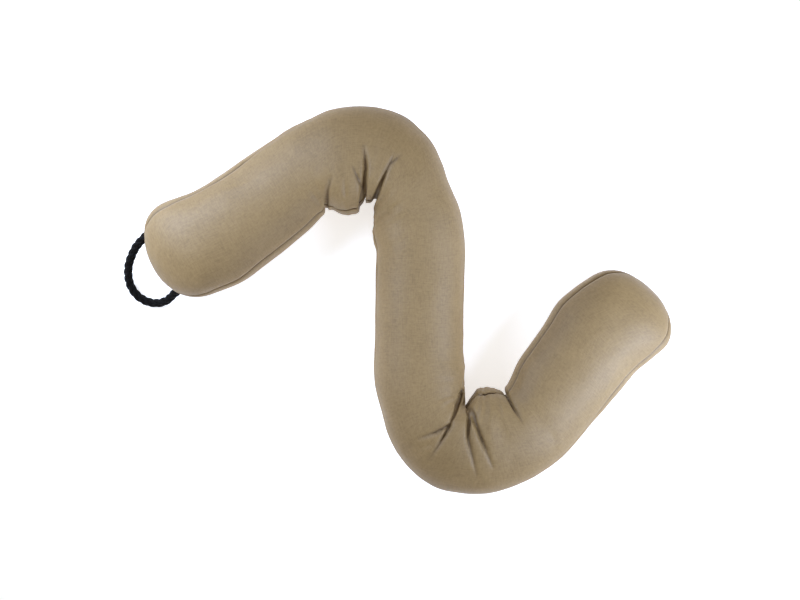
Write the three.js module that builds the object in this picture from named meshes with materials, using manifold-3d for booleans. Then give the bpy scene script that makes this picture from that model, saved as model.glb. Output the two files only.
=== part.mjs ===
// A stuffed door draught excluder: one long filled cloth tube lying in an S, with a short twisted
// rope loop sewn into one end. Millimetres, +Z up, the tube's resting face on z = 0.
// "Left" and "right" are the sides of the tube as it runs from the rope end to the plain end.
import * as THREE from 'three';
import Module from 'manifold-3d';

// The line the tube lies along.
const TUBE_START = { x: -289.3, y: 38.9 };
const START_HEADING_DEG = 27;
const TUBE_LENGTH = 898;
const WALK_STEP = 0.5;

// One row for each bend: where its middle is, how far it turns (left is plus), the length it takes.
const BENDS = [
  { at: 112, turnDeg: 4, over: 140 },
  { at: 291, turnDeg: -122, over: 234 },
  { at: 613, turnDeg: 139, over: 240 },
  { at: 802, turnDeg: -3, over: 140 },
];

// The cross-section of the filled tube.
const WIDEST_SHARE = 0.46;
const ROUNDNESS = 2.15;
const BASE_SHARE = 0.42;
const ARCH_STEPS = 18;
const SIDE_STEPS = 5;

// The two closed ends: a rounded plan, and a crown that comes down to the end seam.
const ROPE_END = { planLength: 46, planPower: 2.2, crownLength: 62, liftLength: 50 };
const PLAIN_END = { planLength: 42, planPower: 2.3, crownLength: 60, liftLength: 50 };
const END_SEAM_HEIGHT = 38;
const END_STEPS = 9;

// One row for each section: how far the cloth reaches to each side of the line, and its height.
const SECTIONS = [
  { at: 0, left: 58, right: 56.5, height: 84 },
  { at: 22, left: 59, right: 57, height: 84 },
  { at: 52, left: 57, right: 60, height: 86 },
  { at: 82, left: 54.5, right: 63, height: 87 },
  { at: 112, left: 55, right: 58, height: 87 },
  { at: 142, left: 57, right: 54, height: 86 },
  { at: 172, left: 59, right: 48.5, height: 87 },
  { at: 192, left: 60.5, right: 43, height: 88 },
  { at: 204, left: 62, right: 40.5, height: 89 },
  { at: 213, left: 62.8, right: 40.5, height: 90 },
  { at: 224, left: 64.5, right: 45.5, height: 91 },
  { at: 237, left: 68.5, right: 49, height: 92 },
  { at: 252, left: 71, right: 49, height: 92 },
  { at: 264, left: 72.5, right: 48.5, height: 91 },
  { at: 272, left: 73, right: 46, height: 90 },
  { at: 278, left: 73, right: 38, height: 90 },
  { at: 286, left: 72, right: 33, height: 89 },
  { at: 294, left: 68.5, right: 32, height: 89 },
  { at: 305, left: 64.5, right: 34, height: 88 },
  { at: 317, left: 57.5, right: 40, height: 88 },
  { at: 332, left: 51, right: 45, height: 87 },
  { at: 352, left: 51, right: 49.5, height: 86 },
  { at: 402, left: 50.5, right: 51, height: 85 },
  { at: 452, left: 50, right: 51, height: 85 },
  { at: 502, left: 50.5, right: 51, height: 85 },
  { at: 532, left: 51.5, right: 52.5, height: 86 },
  { at: 552, left: 48, right: 52.5, height: 87 },
  { at: 572, left: 44, right: 58, height: 88 },
  { at: 584, left: 40, right: 61, height: 89 },
  { at: 594, left: 37, right: 63.5, height: 90 },
  { at: 604, left: 40, right: 65.5, height: 91 },
  { at: 613, left: 52, right: 66, height: 92 },
  { at: 624, left: 55.5, right: 64, height: 92 },
  { at: 642, left: 55.5, right: 62, height: 92 },
  { at: 662, left: 55.5, right: 58, height: 90 },
  { at: 677, left: 52.5, right: 56.5, height: 89 },
  { at: 690, left: 47, right: 56, height: 88 },
  { at: 702, left: 46.5, right: 55.2, height: 87 },
  { at: 717, left: 49.5, right: 54, height: 87 },
  { at: 737, left: 55.5, right: 53, height: 87 },
  { at: 762, left: 58.5, right: 52.5, height: 87 },
  { at: 787, left: 62, right: 51.2, height: 87 },
  { at: 817, left: 68.2, right: 50, height: 86 },
  { at: 842, left: 65.5, right: 52.5, height: 85 },
  { at: 867, left: 61, right: 54.5, height: 84 },
  { at: 898, left: 59.5, right: 51, height: 83 },
];

// How closely the rings of the mesh follow each other along the tube.
const RING_STEPS = [
  { from: 47, to: 186, step: 11 },
  { from: 186, to: 330, step: 2.8 },
  { from: 330, to: 548, step: 13 },
  { from: 548, to: 718, step: 2.8 },
  { from: 718, to: 852, step: 11 },
];

// One row for each fold pressed into the cloth, from its root on the inside of a bend to its tip.
// runsOut is how far the fold goes on past its root, down the wall of the tube.
const FOLDS = [
  { name: 'first main', root: [-51, 121], by: [-47, 147], tip: [-49, 173], depth: 15, half: 10, runsOut: 40 },
  { name: 'first branch', root: [-51, 125], by: [-56, 136], tip: [-62, 149], depth: 6, half: 7, runsOut: 0 },
  { name: 'first second', root: [-37, 114], by: [-27, 136], tip: [-15, 163], depth: 9, half: 9, runsOut: 40 },
  { name: 'first fork', root: [-20, 151], by: [-14, 156], tip: [-6, 161], depth: 3.5, half: 6, runsOut: 0 },
  { name: 'first pucker', root: [-91, 108], by: [-89, 122], tip: [-84, 138], depth: 5, half: 9, runsOut: 30 },
  { name: 'first soft', root: [-70, 117], by: [-70, 134], tip: [-72, 152], depth: 1.6, half: 10, runsOut: 0 },
  { name: 'second notch', root: [69, -111], by: [69, -121], tip: [70, -136], depth: 12, half: 9, runsOut: 30 },
  { name: 'second right', root: [70, -121], by: [79, -149], tip: [95, -188], depth: 10, half: 9, runsOut: 0 },
  { name: 'second left', root: [68, -122], by: [66, -152], tip: [77, -198], depth: 9, half: 9, runsOut: 0 },
  { name: 'second short', root: [57, -113], by: [51, -128], tip: [43, -143], depth: 8, half: 8, runsOut: 12 },
  { name: 'second slant', root: [47, -138], by: [31, -146], tip: [10, -154], depth: 6, half: 7, runsOut: 0 },
  { name: 'second low', root: [45, -141], by: [36, -157], tip: [20, -181], depth: 6, half: 8, runsOut: 0 },
  { name: 'second soft', root: [24, -160], by: [12, -165], tip: [-2, -168], depth: 2.2, half: 7, runsOut: 0 },
  { name: 'second pucker', root: [110, -107], by: [117, -121], tip: [127, -137], depth: 8, half: 9, runsOut: 30 },
];
const FOLD_TAPER = 1.2;
const FOLD_FADE_FROM = 6;
const FOLD_FADE_TO = 26;

// The rope: three strands laid together, its two ends sewn into the end of the tube.
const ROPE_DIAMETER = 10;
const ROPE_LAY = 26;
const STRANDS = 3;
const STRAND_POINTS = 5;
const STRAND_GROOVE = 0.2;
const ROPE_STEP = 2.1;
const SEWN_GAP = 0.35;
const ROPE_ROUTE = [
  { x: -280.5, y: 89.5, z: 38.5 },
  { x: -289.5, y: 80, z: 38 },
  { x: -299, y: 71, z: 36 },
  { x: -308, y: 62, z: 32 },
  { x: -314.5, y: 51.5, z: 26.5 },
  { x: -319, y: 40.5, z: 20.5 },
  { x: -320.5, y: 28.5, z: 14.5 },
  { x: -318.5, y: 16.5, z: 9.5 },
  { x: -311.5, y: 5.5, z: 6.5 },
  { x: -300.5, y: -1.5, z: 5.5 },
  { x: -287.5, y: -3.5, z: 8 },
  { x: -276, y: 0, z: 13.5 },
  { x: -267.5, y: 7, z: 21 },
  { x: -259, y: 13, z: 28.5 },
  { x: -250.5, y: 20, z: 36.5 },
];

// What the surfaces look like.
const CLOTH_COLOUR = 0x9f8f76;
const CLOTH_ROUGHNESS = 0.95;
const ROPE_COLOUR = 0x191819;
const ROPE_ROUGHNESS = 0.7;

function smooth(value, from, to) {
  return THREE.MathUtils.smoothstep(value, from, to);
}

// The heading of the tube at a station, in radians.
function headingAt(station) {
  let degrees = START_HEADING_DEG;
  for (const bend of BENDS) {
    degrees += bend.turnDeg * smooth(station, bend.at - bend.over / 2, bend.at + bend.over / 2);
  }
  return THREE.MathUtils.degToRad(degrees);
}

// The tube's line, walked in short steps.
function walkLine() {
  const places = [{ ...TUBE_START }];
  for (let i = 0; i < TUBE_LENGTH / WALK_STEP; i += 1) {
    const heading = headingAt((i + 0.5) * WALK_STEP);
    const last = places[i];
    places.push({
      x: last.x + Math.cos(heading) * WALK_STEP,
      y: last.y + Math.sin(heading) * WALK_STEP,
    });
  }
  return places;
}

const LINE = walkLine();

function lineAt(station) {
  const index = THREE.MathUtils.clamp(station / WALK_STEP, 0, LINE.length - 1.001);
  const before = LINE[Math.floor(index)];
  const after = LINE[Math.floor(index) + 1];
  const share = index - Math.floor(index);
  return new THREE.Vector2(
    THREE.MathUtils.lerp(before.x, after.x, share),
    THREE.MathUtils.lerp(before.y, after.y, share),
  );
}

const SECTION_CURVE = new THREE.CubicInterpolant(
  SECTIONS.map((row) => row.at),
  SECTIONS.flatMap((row) => [row.left, row.right, row.height]),
  3,
);

// A quarter round from 0 at the tip of an end to 1 where the end has its full size.
function endRound(distance, length, power) {
  const left = 1 - THREE.MathUtils.clamp(distance / length, 0, 1);
  return (1 - left ** power) ** (1 / power);
}

// The sizes of the cross-section at a station, ends included.
function sectionAt(station) {
  const [left, right, height] = SECTION_CURVE.evaluate(station);
  const fromRope = station;
  const fromPlain = TUBE_LENGTH - station;
  const plan = endRound(fromRope, ROPE_END.planLength, ROPE_END.planPower)
    * endRound(fromPlain, PLAIN_END.planLength, PLAIN_END.planPower);
  const crown = endRound(fromRope, ROPE_END.crownLength, 2) * endRound(fromPlain, PLAIN_END.crownLength, 2);
  const drop = endRound(fromRope, ROPE_END.liftLength, 2) * endRound(fromPlain, PLAIN_END.liftLength, 2);
  return {
    left: left * plan,
    right: right * plan,
    top: THREE.MathUtils.lerp(END_SEAM_HEIGHT, height, crown),
    widest: THREE.MathUtils.lerp(END_SEAM_HEIGHT, height * WIDEST_SHARE, crown),
    base: THREE.MathUtils.lerp(END_SEAM_HEIGHT, 0, drop),
  };
}

// The outline of one cross-section, from the left base corner over the top to the right one.
function sectionOutline(size) {
  const outline = [];
  const round = 2 / ROUNDNESS;
  const under = size.widest - size.base;
  for (let i = 0; i < SIDE_STEPS; i += 1) {
    const turn = (Math.PI / 2) * (1 - i / SIDE_STEPS);
    const reach = BASE_SHARE + (1 - BASE_SHARE) * Math.cos(turn) ** round;
    outline.push({ across: size.left * reach, z: size.widest - under * Math.sin(turn) ** round });
  }
  for (let i = 0; i <= ARCH_STEPS; i += 1) {
    const turn = (Math.PI * i) / ARCH_STEPS;
    const side = Math.cos(turn) >= 0 ? size.left : -size.right;
    const rise = Math.max(Math.sin(turn), 0) ** round;
    outline.push({
      across: side * Math.abs(Math.cos(turn)) ** round,
      z: size.widest + (size.top - size.widest) * rise,
    });
  }
  for (let i = 1; i <= SIDE_STEPS; i += 1) {
    const turn = (Math.PI / 2) * (i / SIDE_STEPS);
    const reach = BASE_SHARE + (1 - BASE_SHARE) * Math.max(Math.cos(turn), 0) ** round;
    outline.push({ across: -size.right * reach, z: size.widest - under * Math.sin(turn) ** round });
  }
  return outline;
}

// How far a point in plan lies from a fold, and how far along the fold that is (0 root, 1 tip).
function alongFold(fold, plan) {
  const root = new THREE.Vector2(...fold.root);
  const by = new THREE.Vector2(...fold.by);
  const tip = new THREE.Vector2(...fold.tip);
  const out = root.clone().sub(by).setLength(fold.runsOut + 0.01).add(root);
  const legs = [
    { from: out, to: root, start: 0, end: 0 },
    { from: root, to: by, start: 0, end: 0.5 },
    { from: by, to: tip, start: 0.5, end: 1 },
  ];
  let nearest = { away: Infinity, share: 0 };
  for (const leg of legs) {
    const run = leg.to.clone().sub(leg.from);
    const part = THREE.MathUtils.clamp(plan.clone().sub(leg.from).dot(run) / run.lengthSq(), 0, 1);
    const away = leg.from.clone().addScaledVector(run, part).distanceTo(plan);
    if (away < nearest.away) {
      nearest = { away, share: THREE.MathUtils.lerp(leg.start, leg.end, part) };
    }
  }
  return nearest;
}

// How deep the folds press the cloth in at a point in plan: each is a crease between two full lobes.
function foldDepth(plan) {
  const depths = FOLDS.map((fold) => {
    const { away, share } = alongFold(fold, plan);
    const across = Math.max(1 - away / fold.half, 0) ** 2;
    return fold.depth * across * (1 - share) ** FOLD_TAPER;
  });
  return Math.max(...depths);
}

// The stations of the rings: close together in the bends and towards the tips of the ends.
function ringStations() {
  const stations = [];
  for (let i = 1; i < END_STEPS; i += 1) {
    const share = 1 - Math.cos((Math.PI / 2) * (i / END_STEPS));
    stations.push(share * RING_STEPS[0].from);
    stations.push(TUBE_LENGTH - share * (TUBE_LENGTH - RING_STEPS[RING_STEPS.length - 1].to));
  }
  for (const run of RING_STEPS) {
    const count = Math.round((run.to - run.from) / run.step);
    for (let i = 0; i < count; i += 1) {
      stations.push(THREE.MathUtils.lerp(run.from, run.to, i / count));
    }
  }
  stations.push(RING_STEPS[RING_STEPS.length - 1].to);
  return stations.sort((a, b) => a - b);
}

// One ring of the tube's surface, with the folds pressed in towards the middle of the filling.
function ringPoints(station) {
  const middle = lineAt(station);
  const heading = headingAt(station);
  const leftward = new THREE.Vector2(-Math.sin(heading), Math.cos(heading));
  const size = sectionAt(station);
  const core = new THREE.Vector3(middle.x, middle.y, size.widest);
  core.x += (leftward.x * (size.left - size.right)) / 2;
  core.y += (leftward.y * (size.left - size.right)) / 2;
  return sectionOutline(size).map(({ across, z }) => {
    const plan = middle.clone().addScaledVector(leftward, across);
    const point = new THREE.Vector3(plan.x, plan.y, z);
    const depth = foldDepth(plan) * smooth(z, FOLD_FADE_FROM, FOLD_FADE_TO);
    return point.add(core.clone().sub(point).setLength(depth));
  });
}

// A closed surface through rings of equal size, with a point at each end.
function ringSurface(rings, first, last) {
  const around = rings[0].length;
  const points = [...rings.flat(), first, last];
  const faces = [];
  const startTip = points.length - 2;
  const endTip = points.length - 1;
  const lastRing = (rings.length - 1) * around;
  for (let j = 0; j < around; j += 1) {
    const next = (j + 1) % around;
    faces.push(startTip, next, j);
    faces.push(endTip, lastRing + j, lastRing + next);
    for (let i = 0; i < lastRing; i += around) {
      faces.push(i + j, i + next, i + around + next);
      faces.push(i + j, i + around + next, i + around + j);
    }
  }
  const geometry = new THREE.BufferGeometry().setFromPoints(points);
  geometry.setIndex(faces);
  return geometry;
}

function coverGeometry() {
  const rings = ringStations().map(ringPoints);
  const first = lineAt(0);
  const last = lineAt(TUBE_LENGTH);
  return ringSurface(
    rings,
    new THREE.Vector3(first.x, first.y, END_SEAM_HEIGHT),
    new THREE.Vector3(last.x, last.y, END_SEAM_HEIGHT),
  );
}

function ropeGeometry() {
  const route = ROPE_ROUTE.map((point) => new THREE.Vector3(point.x, point.y, point.z));
  const curve = new THREE.CatmullRomCurve3(route, false, 'centripetal');
  const length = curve.getLength();
  const steps = Math.round(length / ROPE_STEP);
  const frames = curve.computeFrenetFrames(steps, false);
  const centres = curve.getSpacedPoints(steps);
  const around = STRANDS * STRAND_POINTS;
  const rings = centres.map((centre, i) => {
    const twist = ((2 * Math.PI) / ROPE_LAY) * length * (i / steps);
    return Array.from({ length: around }, (unused, j) => {
      const turn = (2 * Math.PI * j) / around;
      const bulge = Math.abs(Math.cos((STRANDS * turn) / 2));
      const radius = (ROPE_DIAMETER / 2) * (1 - STRAND_GROOVE * (1 - bulge) ** 1.5);
      return centre.clone()
        .addScaledVector(frames.normals[i], radius * Math.cos(turn + twist))
        .addScaledVector(frames.binormals[i], radius * Math.sin(turn + twist));
    });
  });
  return ringSurface(rings, centres[0], centres[steps]);
}

// The same surface moved out along its own normals.
function grown(geometry, distance) {
  const bigger = geometry.clone();
  bigger.computeVertexNormals();
  const position = bigger.getAttribute('position');
  const normal = bigger.getAttribute('normal');
  const point = new THREE.Vector3();
  const outward = new THREE.Vector3();
  for (let i = 0; i < position.count; i += 1) {
    outward.fromBufferAttribute(normal, i);
    point.fromBufferAttribute(position, i).addScaledVector(outward, distance);
    position.setXYZ(i, point.x, point.y, point.z);
  }
  return bigger;
}

const wasm = await Module();
wasm.setup();

function toSolid(geometry) {
  return new wasm.Manifold(new wasm.Mesh({
    numProp: 3,
    vertProperties: new Float32Array(geometry.getAttribute('position').array),
    triVerts: new Uint32Array(geometry.getIndex().array),
  }));
}

function fromSolid(solid) {
  const mesh = solid.getMesh();
  const geometry = new THREE.BufferGeometry();
  geometry.setAttribute('position', new THREE.BufferAttribute(mesh.vertProperties, mesh.numProp));
  geometry.setIndex(new THREE.BufferAttribute(mesh.triVerts, 1));
  return geometry;
}

// The rope stops just short of the cloth, where it is sewn in.
function loopGeometry(cover) {
  return fromSolid(toSolid(ropeGeometry()).subtract(toSolid(grown(cover, SEWN_GAP))));
}

function addPart(group, name, geometry, colour, roughness) {
  geometry.computeVertexNormals();
  const material = new THREE.MeshStandardMaterial({ color: colour, roughness, metalness: 0 });
  const mesh = new THREE.Mesh(geometry, material);
  mesh.name = name;
  group.add(mesh);
}

const excluder = new THREE.Group();
excluder.name = 'draught_excluder';
const cover = coverGeometry();
addPart(excluder, 'stuffed_cover', cover, CLOTH_COLOUR, CLOTH_ROUGHNESS);
addPart(excluder, 'hanging_loop', loopGeometry(cover), ROPE_COLOUR, ROPE_ROUGHNESS);

export default excluder;
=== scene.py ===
"""A stuffed door draught excluder: a tan cloth tube lying in an S, with a twisted rope loop at one end.

Tables and shape functions work in millimetres; meshes are written in metres, in the part's own frame.
"Left" and "right" are the sides of the tube as it runs from the rope end to the plain end.
"""
import math

import bpy
import numpy as np
from bpy.props import FloatProperty, FloatVectorProperty, IntProperty, PointerProperty
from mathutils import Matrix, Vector, noise


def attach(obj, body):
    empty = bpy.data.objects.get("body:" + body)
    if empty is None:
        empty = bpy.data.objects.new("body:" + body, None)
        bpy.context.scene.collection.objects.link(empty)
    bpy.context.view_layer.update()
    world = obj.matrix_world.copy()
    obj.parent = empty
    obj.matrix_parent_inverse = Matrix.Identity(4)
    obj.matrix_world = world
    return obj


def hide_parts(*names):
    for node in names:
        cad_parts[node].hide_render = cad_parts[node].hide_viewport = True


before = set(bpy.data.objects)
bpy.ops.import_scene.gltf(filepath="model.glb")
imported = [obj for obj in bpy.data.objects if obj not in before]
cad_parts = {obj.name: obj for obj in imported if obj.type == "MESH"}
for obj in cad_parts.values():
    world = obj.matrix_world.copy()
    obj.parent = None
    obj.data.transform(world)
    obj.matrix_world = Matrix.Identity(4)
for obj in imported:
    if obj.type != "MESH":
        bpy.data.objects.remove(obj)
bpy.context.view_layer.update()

bl_info = {
    "name": "Draught excluder",
    "version": (1, 0, 0),
    "blender": (4, 5, 0),
    "location": "View3D > Sidebar > Excluder",
    "description": "Makes a stuffed cloth draught excluder with a rope loop, and a studio to look at it in",
    "category": "Add Mesh",
}

MM = 0.001

# The line the tube lies along.
TUBE_START = (-289.3, 38.9)
START_HEADING_DEG = 27.0
TUBE_LENGTH = 898.0

# Bends: middle station, turn in degrees (left is plus), length taken.
BENDS = np.array([
    (112, 4, 140),
    (291, -122, 234),
    (613, 139, 240),
    (802, -3, 140),
], float)

# Sections: station, reach to the left, reach to the right, height.
SECTIONS = np.array([
    (0, 58, 56.5, 84),
    (22, 59, 57, 84),
    (52, 57, 60, 86),
    (82, 54.5, 63, 87),
    (112, 55, 58, 87),
    (142, 57, 54, 86),
    (172, 59, 48.5, 87),
    (192, 60.5, 43, 88),
    (204, 62, 40.5, 89),
    (213, 62.8, 40.5, 90),
    (224, 64.5, 45.5, 91),
    (237, 68.5, 49, 92),
    (252, 71, 49, 92),
    (264, 72.5, 48.5, 91),
    (272, 73, 46, 90),
    (278, 73, 38, 90),
    (286, 72, 33, 89),
    (294, 68.5, 32, 89),
    (305, 64.5, 34, 88),
    (317, 57.5, 40, 88),
    (332, 51, 45, 87),
    (352, 51, 49.5, 86),
    (402, 50.5, 51, 85),
    (452, 50, 51, 85),
    (502, 50.5, 51, 85),
    (532, 51.5, 52.5, 86),
    (552, 48, 52.5, 87),
    (572, 44, 58, 88),
    (584, 40, 61, 89),
    (594, 37, 63.5, 90),
    (604, 40, 65.5, 91),
    (613, 52, 66, 92),
    (624, 55.5, 64, 92),
    (642, 55.5, 62, 92),
    (662, 55.5, 58, 90),
    (677, 52.5, 56.5, 89),
    (690, 47, 56, 88),
    (702, 46.5, 55.2, 87),
    (717, 49.5, 54, 87),
    (737, 55.5, 53, 87),
    (762, 58.5, 52.5, 87),
    (787, 62, 51.2, 87),
    (817, 68.2, 50, 86),
    (842, 65.5, 52.5, 85),
    (867, 61, 54.5, 84),
    (898, 59.5, 51, 83),
], float)
WIDEST_SHARE = 0.46
ROUNDNESS = 2.15
BASE_SHARE = 0.42
SECTION_POINTS = 60
LINE_STEP = 0.5

# Stretches with closer rings for the folds: where that starts, is full from, is full to, and ends.
FOLDED_STRETCHES = ((173, 203, 318, 348), (538, 568, 708, 738))
END_RING_STEP = 0.35
END_RING_GROWTH = 0.12
END_RING_INSET = 0.3

# Ends: plan length, plan power, crown length, lift length.
ROPE_END = (46, 2.2, 62, 50)
PLAIN_END = (42, 2.3, 60, 50)
END_SEAM_HEIGHT = 38.0

# The seam between the upper and the lower panel: station, height on the left, height on the right.
SEAMS = np.array([
    (0, 38, 38),
    (9, 46, 42),
    (19, 53.5, 45),
    (43, 60.5, 51),
    (73, 61.5, 55),
    (103, 61.5, 57),
    (133, 60.5, 58),
    (163, 55, 58),
    (193, 51, 58),
    (213, 50, 59),
    (238, 50, 61),
    (265, 50, 61),
    (288, 50, 54),
    (313, 49, 50),
    (353, 47, 49),
    (453, 48, 48),
    (548, 47, 47),
    (578, 49, 48),
    (603, 57, 50),
    (618, 63, 50),
    (643, 64, 50),
    (688, 60, 51),
    (713, 59, 51),
    (743, 58, 54),
    (768, 57, 59),
    (803, 57, 62),
    (843, 56, 62),
    (871, 53, 59),
    (889, 46, 49),
    (898, 38, 38),
], float)

# Folds: root x, y, half-way x, y, tip x, y, depth, half width, how far it runs on down the wall, and 1
# where a sharp crease shows along its bottom.
FOLDS = np.array([
    (-51, 121, -47, 147, -49, 173, 15, 10, 40, 1),
    (-51, 125, -56, 136, -62, 149, 6, 7, 0, 1),
    (-37, 114, -27, 136, -15, 163, 9, 9, 40, 1),
    (-20, 151, -14, 156, -6, 161, 3.5, 6, 0, 1),
    (-91, 108, -89, 122, -84, 138, 5, 9, 30, 1),
    (-70, 117, -70, 134, -72, 152, 1.6, 10, 0, 0),
    (69, -111, 69, -121, 70, -136, 12, 9, 30, 0),
    (70, -121, 79, -149, 95, -188, 10, 9, 0, 1),
    (68, -122, 66, -152, 77, -198, 9, 9, 0, 1),
    (57, -113, 51, -128, 43, -143, 8, 8, 12, 1),
    (47, -138, 31, -146, 10, -154, 6, 7, 0, 1),
    (45, -141, 36, -157, 20, -181, 6, 8, 0, 1),
    (24, -160, 12, -165, -2, -168, 2.2, 7, 0, 0),
    (110, -107, 117, -121, 127, -137, 8, 9, 30, 1),
], float)
FOLD_TAPER = 1.2
FOLD_FADE = (0.5, 8)

# Cloth closes over a fold, so it is narrower than in the solid, between slopes that are wide and shallow.
CLOSED_SHARE = 0.5
SLOPE_WIDTH = 1.9
SLOPE_DEPTH = 0.2
SLOPE_TAPER = 0.7

# Cloth this deep in a fold is eased round the fold's bottom, and has no sharp crease there.
EASED_DEPTHS = (5, 11)

# The sharp crease along the bottom of a fold, and the painted shade that darkens the cloth in creases and
# seams.
CREASE_HALF = 2.3
CREASE_TAPER = 0.45
CREASE_SHARE = 0.35
CREASE_DEPTHS = (1.8, 3.0)
CREASE_SHADE_HALF = 2.8
SEAM_SHADE = (0.8, 2.2)

# Spare cloth: the reach that counts as the inside of a bend, the turn per millimetre of a full bend, the
# slack of straight and of bent cloth, and where across the tube the slack starts and is full.
INSIDE_REACH = 50
FULL_BEND = 0.013
LEAST_SLACK = 0.05
BEND_SLACK = 0.9
SLACK_ACROSS = (-0.2, 0.9)
FILL_FRAMES = 24
HELD_HEIGHT = 1.0

# Waves: height, step, seed of the noise. Gathers radiate on the inside of the bends, on lines that sway;
# puckers follow the seam. Lumps of filling: size, height.
GATHER_WAVES = ((1.0, 9, 7), (0.5, 5, 8))
SWAY_ACROSS = (9, 0.7, 5)
SWAY_ALONG = (4, 40, 6)
GATHERS_ACROSS = (-0.5, 0.7)
GATHERS_CROWDED = (0.1, 0.7)
PUCKER_WAVES = ((1, 7, 21), (0.6, 3.5, 26))
LUMPS = ((38, 0.7), (14, 0.2))
LUMPS_FROM_SEAM = (2, 16)

# The seam's groove is a narrow one in a wide one: share of the depth, half width.
SEAM_GROOVES = ((0.6, 6), (0.4, 1.7))
GROOVE_VARIES = 0.15
PUCKER_REACH = 7
RESTING_FADE = (0.3, 8)

# The rope's middle line, from inside the cloth round to inside the cloth again: x, y, z.
ROPE_ROUTE = np.array([
    (-280.5, 89.5, 38.5),
    (-289.5, 80, 38),
    (-299, 71, 36),
    (-308, 62, 32),
    (-314.5, 51.5, 26.5),
    (-319, 40.5, 20.5),
    (-320.5, 28.5, 14.5),
    (-318.5, 16.5, 9.5),
    (-311.5, 5.5, 6.5),
    (-300.5, -1.5, 5.5),
    (-287.5, -3.5, 8),
    (-276, 0, 13.5),
    (-267.5, 7, 21),
    (-259, 13, 28.5),
    (-250.5, 20, 36.5),
], float)
ROPE_SHOWN = (19.0, 175.0)
ROPE_STEP = 0.8
STRAND_SHARE = 0.3
SWING_SHARE = 0.21
STRAND_SIDES = 16

# Sizes of the patterns in the materials, in metres.
NAP_SIZE = 0.0035
WEAR_SIZE = 0.05
YARN_WIDTH = 0.0016
TABLE_GRAIN = 0.004

# The stage, in metres. Lamps: name, share of the power, place, what it is aimed at.
TABLE_HALF = 30.0
TABLE_DROP = 0.0003
LAMP_SIZE = 0.4
LAMP_SPREAD_DEG = 60
LAMPS = (
    ("left_lamp", 0.85, (-0.56, 0.3, 0.46), (-0.24, 0.07, 0.06)),
    ("right_lamp", 0.92, (0.6, -0.22, 0.46), (0.24, -0.02, 0.06)),
    ("left_rim_lamp", 0.17, (-0.66, 0.4, 0.22), (-0.24, 0.08, 0.06)),
    ("right_rim_lamp", 0.26, (0.72, -0.36, 0.22), (0.24, -0.03, 0.06)),
)

# The camera looks straight down: the width it shows, at what height, and the middle of it along x.
VIEW_WIDTH = 0.904
VIEW_HEIGHT = 0.045
VIEW_MIDDLE = -0.00904
SENSOR_MM = 36


def linear(hex_colour):
    """The linear RGB of an sRGB hex colour."""
    channels = [(hex_colour >> shift & 255) / 255 for shift in (16, 8, 0)]
    return tuple(c / 12.92 if c <= 0.04045 else ((c + 0.055) / 1.055) ** 2.4 for c in channels)


class CoverSettings(bpy.types.PropertyGroup):
    """The stuffed cloth tube."""

    ring_step: FloatProperty(
        name="Ring step", description="Distance between the mesh's rings on the straight runs",
        default=7.5 * MM, unit="LENGTH")
    bend_step: FloatProperty(
        name="Bend step", description="Distance between the mesh's rings in the bends",
        default=2.1 * MM, unit="LENGTH")
    panel_columns: IntProperty(
        name="Panel columns", description="Mesh columns across each of the two panels", default=44)
    seam_crowding: FloatProperty(
        name="Seam crowding", description="How much closer the columns lie at a seam than between seams",
        default=0.56, subtype="FACTOR", min=0, max=0.9)
    fill_pressure: FloatProperty(
        name="Fill pressure", description="How hard the filling presses on the cloth", default=4.0)
    least_swell: FloatProperty(
        name="Least swell", description="The furthest that the filling moves taut cloth",
        default=0.6 * MM, unit="LENGTH")
    most_swell: FloatProperty(
        name="Most swell", description="The furthest that the filling moves slack cloth",
        default=2.6 * MM, unit="LENGTH")
    seam_depth: FloatProperty(
        name="Seam depth", description="How deep the sewn seam pulls the cloth in",
        default=3.2 * MM, unit="LENGTH")
    seam_pucker: FloatProperty(
        name="Seam pucker", description="Height of the small gathers along the seam",
        default=0.25 * MM, unit="LENGTH")
    thread: FloatProperty(
        name="Thread spacing", description="Distance between threads as drawn",
        default=1.4 * MM, unit="LENGTH")
    colour: FloatVectorProperty(
        name="Cloth", description="Colour of the raised threads", subtype="COLOR",
        default=linear(0x9C7F4E), min=0, max=1)
    dark_colour: FloatVectorProperty(
        name="Cloth in the gaps", description="Colour between the threads", subtype="COLOR",
        default=linear(0x82673A), min=0, max=1)
    # Painted shade: this darker colour is mixed into the cloth in creases and seams, where shade falls.
    crease_shade_colour: FloatVectorProperty(
        name="Cloth in the creases", description="Colour painted into creases and seams as shade", subtype="COLOR",
        default=linear(0x5C4522), min=0, max=1)


class RopeSettings(bpy.types.PropertyGroup):
    """The hanging loop."""

    diameter: FloatProperty(
        name="Diameter", description="Thickness of the rope", default=10 * MM, unit="LENGTH")
    lay: FloatProperty(
        name="Lay", description="Length of one full turn of the strands", default=26 * MM, unit="LENGTH")
    strands: IntProperty(name="Strands", description="Strands laid together", default=3)
    colour: FloatVectorProperty(
        name="Rope", description="Colour of the yarn", subtype="COLOR",
        default=linear(0x120F0C), min=0, max=1)


class StageSettings(bpy.types.PropertyGroup):
    """Floor, light and camera."""

    floor_colour: FloatVectorProperty(
        name="Table", description="Colour of the table top", subtype="COLOR",
        default=linear(0xF4F4F4), min=0, max=1)
    floor_glow: FloatProperty(
        name="Table glow", description="Strength of the light from under the table top", default=0.62)
    sky: FloatProperty(name="Fill light", description="Strength of the even light all round", default=0.405)
    lamp_power: FloatProperty(
        name="Lamp power", description="Power that the lamps share out", default=1.2, unit="POWER")
    lamp_colour: FloatVectorProperty(
        name="Lamps", description="Colour of the light of the lamps", subtype="COLOR",
        default=linear(0xC8DBFF), min=0, max=1)
    lens: FloatProperty(name="Lens", description="Focal length in millimetres", default=85.0)


def smooth(value, low, high):
    part = np.clip((value - low) / (high - low), 0, 1)
    return part * part * (3 - 2 * part)


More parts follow.
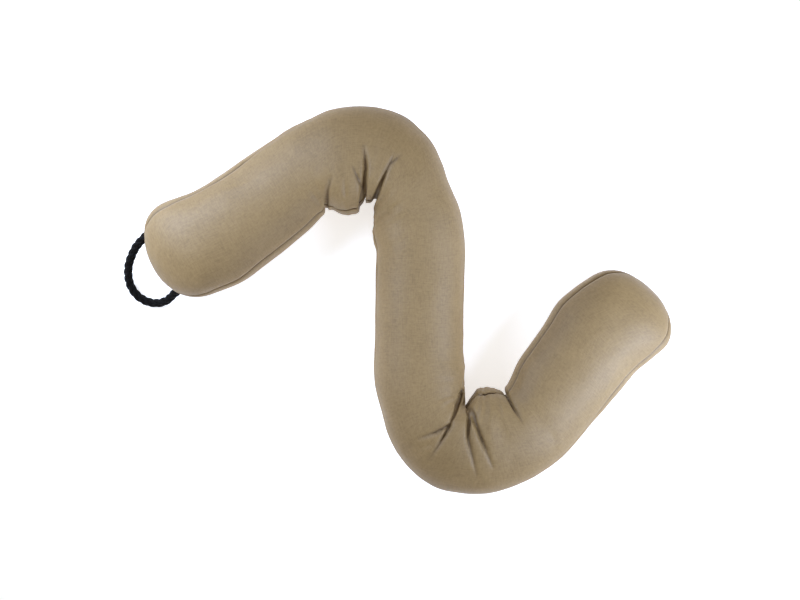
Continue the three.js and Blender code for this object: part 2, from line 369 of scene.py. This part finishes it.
def wander(place, step, seed):
    """Smooth noise from -1 to 1 along a line, with a new value every step."""
    values = np.random.default_rng(seed).uniform(-1, 1, 512)
    cell = np.floor(place / step).astype(int)
    part = smooth(place / step - cell, 0, 1)
    return values[cell % len(values)] * (1 - part) + values[(cell + 1) % len(values)] * part


def waves(place, table):
    """Smooth noise of several sizes along a line, added up."""
    return sum(height * wander(place, step, seed) for height, step, seed in table)


def from_table(stations, table):
    """The columns of a table after its first, on a smooth curve through its rows."""
    at, rows = table[:, 0], table[:, 1:]
    slope = np.gradient(rows, at, axis=0)
    i = np.clip(np.searchsorted(at, stations, side="right") - 1, 0, len(at) - 2)
    gap = (at[i + 1] - at[i])[:, None]
    t = (stations - at[i])[:, None] / gap
    start = (1 + 2 * t) * (1 - t) ** 2 * rows[i] + t * (1 - t) ** 2 * gap * slope[i]
    return start + t * t * (3 - 2 * t) * rows[i + 1] + t * t * (t - 1) * gap * slope[i + 1]


def headings(stations):
    turned = [turn * smooth(stations, at - over / 2, at + over / 2) for at, turn, over in BENDS]
    return np.radians(START_HEADING_DEG + np.sum(turned, axis=0))


def tube_line(stations):
    """The tube's middle line in plan."""
    walk = headings(np.arange(LINE_STEP / 2, TUBE_LENGTH, LINE_STEP))
    path = np.cumsum(np.stack([np.cos(walk), np.sin(walk)], 1) * LINE_STEP, axis=0)
    path = np.vstack([(0, 0), path]) + TUBE_START
    along = np.arange(len(path)) * LINE_STEP
    return np.stack([np.interp(stations, along, path[:, k]) for k in (0, 1)], 1)


def end_round(distance, length, power):
    left = 1 - np.clip(distance / length, 0, 1)
    return (1 - left ** power) ** (1 / power)


def section_sizes(stations):
    """Reach to the left and right, top, widest height and base of the section at each station."""
    left, right, height = from_table(stations, SECTIONS).T
    plan, crown, drop = 1, 1, 1
    for away, (plan_length, power, crown_length, lift_length) in (
            (stations, ROPE_END), (TUBE_LENGTH - stations, PLAIN_END)):
        plan = plan * end_round(away, plan_length, power)
        crown = crown * end_round(away, crown_length, 2)
        drop = drop * end_round(away, lift_length, 2)
    top = END_SEAM_HEIGHT + (height - END_SEAM_HEIGHT) * crown
    widest = END_SEAM_HEIGHT + (height * WIDEST_SHARE - END_SEAM_HEIGHT) * crown
    return left * plan, right * plan, top, widest, END_SEAM_HEIGHT * (1 - drop)


def section_outline(left, right, top, widest, base):
    """One section, from the middle of its base round by the left side, the top and the right side."""
    power = 2 / ROUNDNESS
    turn = np.linspace(0, np.pi / 2, SECTION_POINTS)
    reach = BASE_SHARE + (1 - BASE_SHARE) * np.cos(turn) ** power
    under = widest - (widest - base) * np.sin(turn) ** power
    over = widest + (top - widest) * np.sin(turn) ** power
    side = np.cos(turn) ** power
    across = np.concatenate([
        [0], (left * reach)[::-1], (left * side)[1:],
        (-right * side)[::-1][1:], (-right * reach)[1:], [0]])
    height = np.concatenate([[base], under[::-1], over[1:], over[::-1][1:], under[1:], [base]])
    return across, height


def fold_depth(plan, folds, taper):
    """How deep the folds press the cloth in at points in plan: each is a crease between two full lobes."""
    depth = np.zeros(len(plan))
    for fold in folds:
        root, middle, tip = fold[:2], fold[2:4], fold[4:6]
        deep, half, runs_out = fold[6:9]
        out = root + (root - middle) / np.linalg.norm(root - middle) * (runs_out + 0.01)
        nearest, share = np.full(len(plan), np.inf), np.zeros(len(plan))
        for start, end, low, high in ((out, root, 0, 0), (root, middle, 0, 0.5), (middle, tip, 0.5, 1)):
            run = end - start
            part = np.clip((plan - start) @ run / (run @ run), 0, 1)
            away = np.linalg.norm(plan - start - part[:, None] * run, axis=1)
            closer = away < nearest
            nearest[closer] = away[closer]
            share[closer] = (low + (high - low) * part)[closer]
        across = np.clip(1 - nearest / half, 0, None) ** 2
        depth = np.maximum(depth, deep * across * (1 - share) ** taper)
    return depth


def ring_stations(settings):
    """Stations of the rings, closer together in the bends and at the ends."""
    coarse, fine = settings.ring_step / MM, settings.bend_step / MM
    along = np.arange(0, TUBE_LENGTH + LINE_STEP, LINE_STEP)
    folded = np.zeros(len(along))
    for starts, full_from, full_to, ends in FOLDED_STRETCHES:
        here = smooth(along, starts, full_from) * (1 - smooth(along, full_to, ends))
        folded = np.maximum(folded, here)
    tip = np.minimum(along, TUBE_LENGTH - along)
    step = coarse + (fine - coarse) * folded
    step = np.minimum(step, END_RING_STEP + tip * END_RING_GROWTH)
    count = np.concatenate([[0], np.cumsum(LINE_STEP / step[:-1])])
    rings = int(round(count[-1]))
    stations = np.interp(np.linspace(0, count[-1], rings + 1), count, along)
    return np.clip(stations, END_RING_INSET, TUBE_LENGTH - END_RING_INSET)


def tube_grid(settings):
    """The cover's points by ring and column, the rings' stations, how far round its section each point
    lies, and the middle of each section.

    Column 0 lies on the left seam and column n on the right one; the upper panel lies between them, and
    the lower panel comes back in the columns after. At each end the two panels meet on the end seam.
    """
    n = settings.panel_columns
    stations = ring_stations(settings)
    middle, heading = tube_line(stations), headings(stations)
    leftward = np.stack([-np.sin(heading), np.cos(heading)], 1)
    seams = from_table(stations, SEAMS)
    sizes = np.stack(section_sizes(stations), 1)
    grid = np.zeros((len(stations), 2 * n, 3))
    round_by = np.zeros((len(stations), 2 * n + 1))
    part = np.linspace(0, 1, n, endpoint=False)
    part = part - settings.seam_crowding * np.sin(2 * np.pi * part) / (2 * np.pi)
    left_wall = slice(1, 2 * SECTION_POINTS)
    right_wall = slice(2 * SECTION_POINTS, 4 * SECTION_POINTS - 2)
    for i, size in enumerate(sizes):
        across, height = section_outline(*size)
        length = np.concatenate([[0], np.cumsum(np.hypot(np.diff(across), np.diff(height)))])
        low, high = size[4], size[2]
        left_seam = np.interp(np.clip(seams[i, 0], low, high), height[left_wall], length[left_wall])
        right_seam = np.interp(
            np.clip(seams[i, 1], low, high), height[right_wall][::-1], length[right_wall][::-1])
        once_round = left_seam + length[-1]
        upper = left_seam + (right_seam - left_seam) * part
        lower = right_seam + (once_round - right_seam) * part
        at = np.concatenate([upper, lower])
        sideways = np.interp(at % length[-1], length, across)
        grid[i, :, :2] = middle[i] + leftward[i] * sideways[:, None]
        grid[i, :, 2] = np.interp(at % length[-1], length, height)
        round_by[i] = [*at, once_round]
    for i in (0, -1):
        edge = np.linspace(grid[i, 0], grid[i, n], n + 1)
        edge[:, 2] = END_SEAM_HEIGHT
        grid[i, :n + 1] = edge
        grid[i, n + 1:] = edge[1:-1][::-1]
    core = np.zeros((len(stations), 1, 3))
    core[:, 0, :2] = middle + leftward * ((sizes[:, 0] - sizes[:, 1]) / 2)[:, None]
    core[:, 0, 2] = sizes[:, 3]
    return grid, stations, round_by, core


def grid_mesh(name, grid, uv=None):
    """A closed mesh of the grid, with the two panels joined along the end seams. Returns it and each
    grid point's vertex."""
    rings, columns = grid.shape[:2]
    n = columns // 2
    vertex = np.arange(rings * columns).reshape(rings, columns)
    for i in (0, -1):
        vertex[i, n + 1:] = vertex[i, 1:n][::-1]
    used, vertex = np.unique(vertex, return_inverse=True)
    vertex = vertex.reshape(rings, columns)
    points = grid.reshape(-1, 3)[used] * MM
    right = np.roll(vertex, -1, axis=1)
    quads = np.stack([vertex[:-1], right[:-1], right[1:], vertex[1:]], 2).reshape(-1, 4)
    mesh = bpy.data.meshes.new(name)
    mesh.from_pydata(points.tolist(), [], quads.tolist())
    mesh.polygons.foreach_set("use_smooth", [True] * len(mesh.polygons))
    if uv is not None:
        layer = mesh.uv_layers.new(name="cloth_lay")
        corners = np.stack([uv[:-1, :-1], uv[:-1, 1:], uv[1:, 1:], uv[1:, :-1]], 2)
        layer.uv.foreach_set("vector", corners.reshape(-1).astype(np.float32))
    mesh.update()
    return mesh, vertex


def grid_normals(grid):
    """Outward directions at the points of the grid."""
    along = np.gradient(grid, axis=0)
    across = np.roll(grid, -1, axis=1) - np.roll(grid, 1, axis=1)
    out = np.cross(across, along)
    length = np.linalg.norm(out, axis=2, keepdims=True)
    return out / np.maximum(length, 1e-9)


def finer(grid, closed):
    """The grid with a new point between each two, on a smooth curve through them."""
    def between(points, wrap):
        if wrap:
            before, after = np.roll(points, 1, 0), np.roll(points, -2, 0)
            return (9 * (points + np.roll(points, -1, 0)) - before - after) / 16
        before = np.concatenate([points[:1], points[:-2]])
        after = np.concatenate([points[2:], points[-1:]])
        return (9 * (points[:-1] + points[1:]) - before - after) / 16

    rows = np.zeros((2 * len(grid) - 1, *grid.shape[1:]))
    rows[::2], rows[1::2] = grid, between(grid, False)
    turned = np.swapaxes(rows, 0, 1)
    count = len(turned)
    both = np.zeros((2 * count if closed else 2 * count - 1, *turned.shape[1:]))
    both[::2], both[1::2] = turned, between(turned, closed)
    return np.swapaxes(both, 0, 1)


def fill_cover(settings, grid, slack):
    """The filling presses on the cloth, with spare cloth where slack is high. Returns the new grid."""
    mesh, vertex = grid_mesh("cover_fill", grid)
    cover = bpy.data.objects.new("cover_fill", mesh)
    bpy.context.scene.collection.objects.link(cover)
    taut = cover.vertex_groups.new(name="taut")
    for index, weight in zip(vertex.ravel().tolist(), (1 - slack).ravel().tolist()):
        taut.add([index], weight, "REPLACE")
    held = cover.vertex_groups.new(name="held")
    held.add(np.unique(vertex[grid[:, :, 2] < HELD_HEIGHT]).tolist(), 1.0, "REPLACE")
    cloth = cover.modifiers.new("filling", "CLOTH")
    cloth.settings.quality = 6
    cloth.settings.mass = 0.25
    cloth.settings.tension_stiffness = 30
    cloth.settings.compression_stiffness = 20
    cloth.settings.shear_stiffness = 8
    cloth.settings.bending_stiffness = 0.25
    cloth.settings.vertex_group_mass = "held"
    cloth.settings.use_pressure = True
    cloth.settings.uniform_pressure_force = settings.fill_pressure
    cloth.settings.vertex_group_shrink = "taut"
    cloth.settings.shrink_min = -0.07
    cloth.settings.shrink_max = 0.0
    cloth.settings.effector_weights.gravity = 0
    cloth.point_cache.frame_start = 1
    cloth.point_cache.frame_end = FILL_FRAMES
    scene = bpy.context.scene
    for number in range(1, FILL_FRAMES + 1):
        scene.frame_set(number)
    filled = cover.evaluated_get(bpy.context.evaluated_depsgraph_get())
    points = np.zeros(len(mesh.vertices) * 3, np.float32)
    filled.data.vertices.foreach_get("co", points)
    scene.frame_set(1)
    bpy.data.objects.remove(cover)
    bpy.data.meshes.remove(mesh)
    moved = points.reshape(-1, 3)[vertex] / MM - grid
    for turn in range(2):
        moved = (np.roll(moved, 1, 1) + 2 * moved + np.roll(moved, -1, 1)) / 4
        moved[1:-1] = (moved[:-2] + 2 * moved[1:-1] + moved[2:]) / 4
    far = np.linalg.norm(moved, axis=2)
    cap = (settings.least_swell + (settings.most_swell - settings.least_swell) * slack) / MM
    return grid + moved * np.minimum(1, cap / np.maximum(far, 1e-9))[:, :, None]


def cover_grid(settings):
    """The cover's main shape by ring and column: sections, folds and filling.

    Returns its grid, the stations, how far round its section each point lies, how bent the tube is, how
    far to the inside of the bend each point lies, how much of a fold it takes, and how deep it is pressed.
    """
    n = settings.panel_columns
    grid, stations, round_by, core = tube_grid(settings)
    shape = grid.shape
    plan = grid.reshape(-1, 3)[:, :2]
    fade = smooth(grid[:, :, 2], *FOLD_FADE)
    inward = core - grid
    inward /= np.maximum(np.linalg.norm(inward, axis=2, keepdims=True), 1e-6)
    folds = FOLDS.copy()
    folds[:, 7] *= CLOSED_SHARE
    slopes = FOLDS.copy()
    slopes[:, 6] *= SLOPE_DEPTH
    slopes[:, 7] *= SLOPE_WIDTH
    pressed = fold_depth(plan, folds, FOLD_TAPER) + fold_depth(plan, slopes, SLOPE_TAPER)
    pressed = pressed.reshape(shape[:2]) * fade
    grid = grid + inward * pressed[:, :, None]
    eased = smooth(pressed, *EASED_DEPTHS)[1:-1, :, None]
    for turn in range(2):
        around = np.roll(grid, 1, 1) + np.roll(grid, -1, 1)
        mean = (around[1:-1] + grid[:-2] + grid[2:]) / 4
        grid[1:-1] += eased * (mean - grid[1:-1]) / 2
    heading = headings(stations)
    turning = np.gradient(heading, stations)
    ahead = np.stack([np.cos(heading), np.sin(heading)], 1)
    to_left = np.cross(ahead, grid[:, :, :2].transpose(1, 0, 2) - tube_line(stations)).T
    inside = np.clip(to_left * np.sign(turning)[:, None] / INSIDE_REACH, -1, 1)
    curl = np.clip(np.abs(turning) / FULL_BEND, 0, 1)[:, None]
    slack = np.clip(LEAST_SLACK + curl * smooth(inside, *SLACK_ACROSS) * BEND_SLACK, 0, 1)
    seam = np.zeros(shape[:2])
    seam[:, [0, n]] = 1
    slack = slack * (1 - seam)
    grid = fill_cover(settings, grid, slack)
    return grid, stations, round_by, curl, inside, fade, pressed


class EXCLUDER_OT_stage(bpy.types.Operator):
    """Make the floor, the studio light and the camera straight above"""

    bl_idname = "excluder.stage"
    bl_label = "Stage"

    def execute(self, context):
        make_stage(context.scene.excluder_stage)
        return {"FINISHED"}


class EXCLUDER_OT_hanging_loop(bpy.types.Operator):
    """Make the twisted rope loop that is sewn into one end"""

    bl_idname = "excluder.hanging_loop"
    bl_label = "Hanging loop"

    def execute(self, context):
        make_loop(context.scene.excluder_rope)
        return {"FINISHED"}


class EXCLUDER_OT_stuffed_cover(bpy.types.Operator):
    """Make the stuffed cloth tube"""

    bl_idname = "excluder.stuffed_cover"
    bl_label = "Stuffed cover"

    def execute(self, context):
        make_cover(context.scene.excluder_cover)
        return {"FINISHED"}


class EXCLUDER_PT_sidebar(bpy.types.Panel):
    """The draught excluder's pieces and their sizes"""

    bl_idname = "EXCLUDER_PT_sidebar"
    bl_label = "Draught excluder"
    bl_space_type = "VIEW_3D"
    bl_region_type = "UI"
    bl_category = "Excluder"

    def draw(self, context):
        for settings, operator in (
                (context.scene.excluder_stage, EXCLUDER_OT_stage),
                (context.scene.excluder_rope, EXCLUDER_OT_hanging_loop),
                (context.scene.excluder_cover, EXCLUDER_OT_stuffed_cover)):
            box = self.layout.box()
            for name in settings.bl_rna.properties.keys():
                if name not in ("rna_type", "name"):
                    box.prop(settings, name)
            box.operator(operator.bl_idname)


CLASSES = (
    CoverSettings, RopeSettings, StageSettings,
    EXCLUDER_OT_stage, EXCLUDER_OT_hanging_loop, EXCLUDER_OT_stuffed_cover, EXCLUDER_PT_sidebar,
)


def add_node(tree, kind, settings=None, inputs=None):
    """Add a node, set its properties, and link or set its inputs."""
    made = tree.nodes.new(kind)
    for name, value in (settings or {}).items():
        setattr(made, name, value)
    for name, value in (inputs or {}).items():
        if isinstance(value, bpy.types.NodeSocket):
            tree.links.new(value, made.inputs[name])
        else:
            made.inputs[name].default_value = value
    return made


def new_material(name):
    material = bpy.data.materials.new(name)
    material.use_nodes = True
    material.node_tree.nodes.clear()
    return material, material.node_tree


def cloth_material(settings):
    """Brushed cotton canvas, piece dyed.

    Uneven spun threads cross in a plain weave under a short raised nap, so it is matt, faintly streaked
    both ways, and goes pale where light falls across it. Cloth deep in a crease or a seam is painted darker
    and browner, as painted shade. The real threads lie about half a millimetre apart: they are drawn
    coarser so that they show.
    """
    material, tree = new_material("brushed_cotton_canvas")
    thread = settings.thread
    lay = add_node(tree, "ShaderNodeUVMap", {"uv_map": "cloth_lay"})
    streaks = []
    for along, across in ((1 / (8 * thread), 1 / thread), (1 / thread, 1 / (8 * thread))):
        place = add_node(tree, "ShaderNodeMapping", None, {
            "Vector": lay.outputs["UV"], "Scale": (along, across, 1)})
        streaks.append(add_node(tree, "ShaderNodeTexNoise", {"noise_dimensions": "2D"}, {
            "Vector": place.outputs["Vector"], "Scale": 1.0, "Detail": 2.0, "Roughness": 0.6}))
    crossed = add_node(tree, "ShaderNodeMath", {"operation": "ADD"}, {
        0: streaks[0].outputs["Fac"], 1: streaks[1].outputs["Fac"]})
    weave = add_node(tree, "ShaderNodeMath", {"operation": "MULTIPLY"}, {
        0: crossed.outputs["Value"], 1: 0.65})
    where = add_node(tree, "ShaderNodeTexCoord")
    nap = add_node(tree, "ShaderNodeTexNoise", None, {
        "Vector": where.outputs["Object"], "Scale": 1 / NAP_SIZE, "Detail": 3.0, "Roughness": 0.65})
    wear = add_node(tree, "ShaderNodeTexNoise", None, {
        "Vector": where.outputs["Object"], "Scale": 1 / WEAR_SIZE, "Detail": 3.0, "Roughness": 0.6})
    height = add_node(tree, "ShaderNodeMath", {"operation": "MULTIPLY_ADD"}, {
        0: nap.outputs["Fac"], 1: 1.15, 2: weave.outputs["Value"]})
    shade = add_node(tree, "ShaderNodeMath", {"operation": "MULTIPLY_ADD"}, {
        0: wear.outputs["Fac"], 1: 0.8, 2: height.outputs["Value"]})
    mix = add_node(tree, "ShaderNodeMapRange", None, {
        "Value": shade.outputs["Value"], "From Min": 1.175, "From Max": 2.075, "To Min": 0.0, "To Max": 1.0})
    colour = add_node(tree, "ShaderNodeMix", {"data_type": "RGBA"}, {
        "Factor": mix.outputs["Result"],
        6: (*settings.dark_colour, 1), 7: (*settings.colour, 1)})
    # Painted shade: a darker colour is mixed in along the creases and seams, where shade falls.
    painted_shade = add_node(tree, "ShaderNodeAttribute", {"attribute_name": "painted_shade"})
    shaded_colour = add_node(tree, "ShaderNodeMix", {"data_type": "RGBA"}, {
        "Factor": painted_shade.outputs["Fac"], 6: colour.outputs[2], 7: (*settings.crease_shade_colour, 1)})
    bump = add_node(tree, "ShaderNodeBump", None, {
        "Height": height.outputs["Value"], "Strength": 0.3, "Distance": 0.0006})
    shader = add_node(tree, "ShaderNodeBsdfPrincipled", None, {
        "Base Color": shaded_colour.outputs[2], "Normal": bump.outputs["Normal"], "Roughness": 0.64,
        "Specular IOR Level": 0.85, "Sheen Weight": 0.08, "Sheen Roughness": 0.5,
        "Sheen Tint": (*linear(0xF6F1EE), 1)})
    add_node(tree, "ShaderNodeOutputMaterial", None, {"Surface": shader.outputs["BSDF"]})
    return material


def rope_material(settings):
    """Spun polyester cord, laid from three strands, dyed black.

    The yarns of each strand catch soft streaks of light across its turn.
    """
    material, tree = new_material("laid_polyester_cord")
    lay = add_node(tree, "ShaderNodeUVMap", {"uv_map": "strand_lay"})
    yarn = add_node(tree, "ShaderNodeTexWave", {"wave_type": "BANDS", "bands_direction": "DIAGONAL"}, {
        "Vector": lay.outputs["UV"], "Scale": 1 / (YARN_WIDTH * 20) * 6.28, "Distortion": 1.5,
        "Detail": 2.0, "Detail Scale": 2.0})
    shade = add_node(tree, "ShaderNodeMix", {"data_type": "RGBA"}, {
        "Factor": yarn.outputs["Fac"],
        6: (*(0.45 * c for c in settings.colour), 1), 7: (*settings.colour, 1)})
    bump = add_node(tree, "ShaderNodeBump", None, {
        "Height": yarn.outputs["Fac"], "Strength": 0.6, "Distance": 0.0005})
    shader = add_node(tree, "ShaderNodeBsdfPrincipled", None, {
        "Base Color": shade.outputs[2], "Normal": bump.outputs["Normal"], "Roughness": 0.62,
        "Specular IOR Level": 0.1})
    add_node(tree, "ShaderNodeOutputMaterial", None, {"Surface": shader.outputs["BSDF"]})
    return material


def floor_material(settings):
    """Opal acrylic sheet, cast matt: a white table top, lit a little from below, that keeps shadows pale."""
    material, tree = new_material("cast_opal_acrylic")
    where = add_node(tree, "ShaderNodeTexCoord")
    grain = add_node(tree, "ShaderNodeTexNoise", None, {
        "Vector": where.outputs["Object"], "Scale": 1 / TABLE_GRAIN, "Detail": 2.0})
    bump = add_node(tree, "ShaderNodeBump", None, {
        "Height": grain.outputs["Fac"], "Strength": 0.04, "Distance": 0.0002})
    shader = add_node(tree, "ShaderNodeBsdfPrincipled", None, {
        "Base Color": (*settings.floor_colour, 1), "Normal": bump.outputs["Normal"], "Roughness": 0.9,
        "Specular IOR Level": 0.1, "Emission Color": (1, 1, 1, 1),
        "Emission Strength": settings.floor_glow})
    add_node(tree, "ShaderNodeOutputMaterial", None, {"Surface": shader.outputs["BSDF"]})
    return material


def show(name, mesh, material):
    """Put a mesh in the scene with its material."""
    mesh.materials.append(material)
    made = bpy.data.objects.new(name, mesh)
    bpy.context.scene.collection.objects.link(made)
    return made


def seam_distance(grid):
    """How far each point of the grid lies from the nearest seam."""
    step = np.linalg.norm(np.roll(grid, -1, axis=1) - grid, axis=2)
    walked = np.cumsum(step, axis=1) - step
    once_round = step.sum(axis=1, keepdims=True)
    nearest = np.full(grid.shape[:2], np.inf)
    for column in (0, grid.shape[1] // 2):
        away = np.abs(walked - walked[:, column:column + 1])
        nearest = np.minimum(nearest, np.minimum(away, once_round - away))
    ahead = np.linalg.norm(np.diff(grid, axis=0), axis=2)
    nearest[1:] = np.minimum(nearest[1:], np.cumsum(ahead, axis=0))
    nearest[:-1] = np.minimum(nearest[:-1], np.cumsum(ahead[::-1], axis=0)[::-1])
    nearest[[0, -1]] = 0
    return nearest


def make_cover(settings):
    grid, stations, round_by, curl, inside, fade, pressed = cover_grid(settings)
    n = settings.panel_columns
    lay = np.stack([round_by, np.repeat(stations[:, None], 2 * n + 1, 1)], 2) * MM
    lay = finer(lay, False)
    grid = finer(grid, True)
    fine = finer(np.stack([np.repeat(curl, 2 * n, 1), inside, fade, pressed], 2), True)
    curl, inside, fade, pressed = np.moveaxis(fine, 2, 0)
    rings, columns = grid.shape[:2]
    along = finer(np.repeat(stations[:, None], 2, 1)[:, :, None], True)[:, :1, 0]
    out = grid_normals(grid)
    plan = grid.reshape(-1, 3)[:, :2]

    lines = FOLDS[FOLDS[:, 9] == 1]
    lines[:, 6] = np.clip(CREASE_SHARE * lines[:, 6], *CREASE_DEPTHS)
    lines[:, 7] = CREASE_HALF
    creases = fold_depth(plan, lines, CREASE_TAPER).reshape(rings, columns) * fade
    creases = creases * (1 - smooth(pressed, *EASED_DEPTHS))
    # Painted shade: the cloth along the creases is marked for a darker colour, where shade falls.
    lines[:, 6] = 1
    lines[:, 7] = CREASE_SHADE_HALF
    painted_shade = fold_depth(plan, lines, CREASE_TAPER).reshape(rings, columns) * fade

    swayed = along + waves(inside * 2, [SWAY_ACROSS]) + waves(along, [SWAY_ALONG])
    crowded = np.linalg.norm(np.gradient(grid, axis=0), axis=2) / np.gradient(along, axis=0)
    gathers = waves(swayed, GATHER_WAVES) * np.clip(curl, 0, 1)
    gathers = gathers * smooth(inside, *GATHERS_ACROSS) * smooth(crowded, *GATHERS_CROWDED)

    lumps = np.array([
        sum(height * noise.noise(Vector(point) / size) for size, height in LUMPS)
        for point in grid.reshape(-1, 3)]).reshape(rings, columns)

    seam_away = seam_distance(grid)
    # Painted shade along the seams too, where the stitched groove is shadowed.
    seam_shade_strength, seam_half = SEAM_SHADE
    painted_shade = np.maximum(painted_shade, seam_shade_strength * np.clip(1 - seam_away / seam_half, 0, None))
    puckers = waves(along, PUCKER_WAVES)
    groove = sum(share * np.clip(1 - seam_away / half, 0, None) ** 2 for share, half in SEAM_GROOVES)
    seam = settings.seam_pucker / MM * puckers * np.exp(-(seam_away / PUCKER_REACH) ** 2)
    seam = seam - settings.seam_depth / MM * groove * (1 + GROOVE_VARIES * puckers)

    off_floor = smooth(grid[:, :, 2], *RESTING_FADE)
    change = (seam + gathers * fade + lumps * smooth(seam_away, *LUMPS_FROM_SEAM)) * off_floor - creases
    grid = grid + out * change[:, :, None]
    grid[:, :, 2] = np.maximum(grid[:, :, 2], 0)
    half = columns // 2
    for i in (0, -1):
        grid[i, half + 1:] = grid[i, 1:half][::-1]

    mesh, vertex = grid_mesh("stuffed_cover_cloth", grid, lay)
    by_vertex = np.zeros(len(mesh.vertices), np.float32)
    by_vertex[vertex.ravel()] = painted_shade.ravel()
    mesh.attributes.new("painted_shade", "FLOAT", "POINT").data.foreach_set("value", by_vertex)
    cover = show("stuffed_cover_cloth", mesh, cloth_material(settings))
    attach(cover, "root")
    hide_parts("stuffed_cover")


def rope_line():
    """Points along the rope, from just inside the cloth to just inside it again, and how far on each is."""
    ends = [2 * ROPE_ROUTE[0] - ROPE_ROUTE[1], *ROPE_ROUTE, 2 * ROPE_ROUTE[-1] - ROPE_ROUTE[-2]]
    part = np.linspace(0, 1, 60, endpoint=False)[:, None]
    pieces = []
    for a, b, c, d in zip(ends, ends[1:], ends[2:], ends[3:]):
        gaps = [math.sqrt(np.linalg.norm(q - p)) for p, q in ((a, b), (b, c), (c, d))]
        leave = ((b - a) / gaps[0] - (c - a) / (gaps[0] + gaps[1]) + (c - b) / gaps[1]) * gaps[1]
        arrive = ((c - b) / gaps[1] - (d - b) / (gaps[1] + gaps[2]) + (d - c) / gaps[2]) * gaps[1]
        pieces.append(
            b + leave * part + (3 * (c - b) - 2 * leave - arrive) * part ** 2
            + (2 * (b - c) + leave + arrive) * part ** 3)
    line = np.concatenate([*pieces, ROPE_ROUTE[-1:]])
    along = np.concatenate([[0], np.cumsum(np.linalg.norm(np.diff(line, axis=0), axis=1))])
    at = np.arange(ROPE_SHOWN[0], ROPE_SHOWN[1] + ROPE_STEP / 2, ROPE_STEP)
    return np.stack([np.interp(at, along, line[:, k]) for k in range(3)], 1), at


def steady_frames(line):
    """Two directions across a line at each point, turning no more than they must."""
    ahead = np.gradient(line, axis=0)
    ahead /= np.linalg.norm(ahead, axis=1, keepdims=True)
    side = np.cross(ahead[0], (0, 0, 1))
    sides = []
    for direction in ahead:
        side = side - direction * (side @ direction)
        side = side / np.linalg.norm(side)
        sides.append(side)
    sides = np.array(sides)
    return sides, np.cross(ahead, sides)


def make_loop(settings):
    line, at = rope_line()
    sides, ups = steady_frames(line)
    diameter = settings.diameter / MM
    strand = STRAND_SHARE * diameter
    swing = SWING_SHARE * diameter
    around = STRAND_SIDES
    points, faces, lays = [], [], []
    for s in range(settings.strands):
        turn = 2 * math.pi * (at / (settings.lay / MM) + s / settings.strands)
        centre = line + swing * (np.cos(turn)[:, None] * sides + np.sin(turn)[:, None] * ups)
        across, over = steady_frames(centre)
        spin = np.linspace(0, 2 * math.pi, around, endpoint=False)
        ring = centre[:, None] + strand * (
            np.cos(spin)[None, :, None] * across[:, None] + np.sin(spin)[None, :, None] * over[:, None])
        first = len(points)
        points += ring.reshape(-1, 3).tolist()
        for i in range(len(line) - 1):
            for j in range(around):
                k = (j + 1) % around
                faces.append([first + i * around + j, first + i * around + k,
                              first + (i + 1) * around + k, first + (i + 1) * around + j])
                low, high = strand * spin[j], strand * (spin[j] + spin[1])
                lays += [(low, at[i]), (high, at[i]), (high, at[i + 1]), (low, at[i + 1])]
        for i, order in ((0, -1), (len(line) - 1, 1)):
            cap = [first + i * around + j for j in range(around)][::order]
            faces.append(cap)
            lays += [(0, at[i])] * around
    mesh = bpy.data.meshes.new("hanging_loop_rope")
    mesh.from_pydata((np.array(points) * MM).tolist(), [], faces)
    layer = mesh.uv_layers.new(name="strand_lay")
    layer.uv.foreach_set("vector", (np.array(lays) * MM).reshape(-1).astype(np.float32))
    mesh.polygons.foreach_set("use_smooth", [True] * len(mesh.polygons))
    mesh.update()
    rope = show("hanging_loop_rope", mesh, rope_material(settings))
    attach(rope, "root")
    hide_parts("hanging_loop")


def make_stage(settings):
    scene = bpy.context.scene
    mesh = bpy.data.meshes.new("floor")
    corners = [(-1, -1), (1, -1), (1, 1), (-1, 1)]
    mesh.from_pydata([(TABLE_HALF * x, TABLE_HALF * y, -TABLE_DROP) for x, y in corners], [], [(0, 1, 2, 3)])
    show("floor", mesh, floor_material(settings))

    world = bpy.data.worlds.new("even_light")
    world.use_nodes = True
    world.node_tree.nodes["Background"].inputs["Color"].default_value = (1, 1, 1, 1)
    world.node_tree.nodes["Background"].inputs["Strength"].default_value = settings.sky
    scene.world = world

    for name, share, place, aim in LAMPS:
        light = bpy.data.lights.new(name, "AREA")
        light.size = LAMP_SIZE
        light.spread = math.radians(LAMP_SPREAD_DEG)
        light.energy = settings.lamp_power * share
        light.color = settings.lamp_colour
        lamp = bpy.data.objects.new(name, light)
        lamp.location = place
        lamp.rotation_euler = (Vector(aim) - Vector(place)).to_track_quat("-Z", "Y").to_euler()
        scene.collection.objects.link(lamp)

    camera = bpy.data.cameras.new("camera")
    camera.lens = settings.lens
    camera.sensor_width = SENSOR_MM
    above = bpy.data.objects.new("camera", camera)
    above.location = (VIEW_MIDDLE, 0, VIEW_HEIGHT + VIEW_WIDTH / SENSOR_MM * settings.lens)
    scene.collection.objects.link(above)
    scene.camera = above
    scene.view_settings.view_transform = "Standard"
    scene.view_settings.look = "None"


def register():
    for made in CLASSES:
        bpy.utils.register_class(made)
    bpy.types.Scene.excluder_cover = PointerProperty(type=CoverSettings)
    bpy.types.Scene.excluder_rope = PointerProperty(type=RopeSettings)
    bpy.types.Scene.excluder_stage = PointerProperty(type=StageSettings)


def unregister():
    for name in ("excluder_stage", "excluder_rope", "excluder_cover"):
        delattr(bpy.types.Scene, name)
    for made in reversed(CLASSES):
        bpy.utils.unregister_class(made)


def main():
    register()
    bpy.ops.excluder.stage()
    bpy.ops.excluder.hanging_loop()
    bpy.ops.excluder.stuffed_cover()


if __name__ == "__main__":
    main()
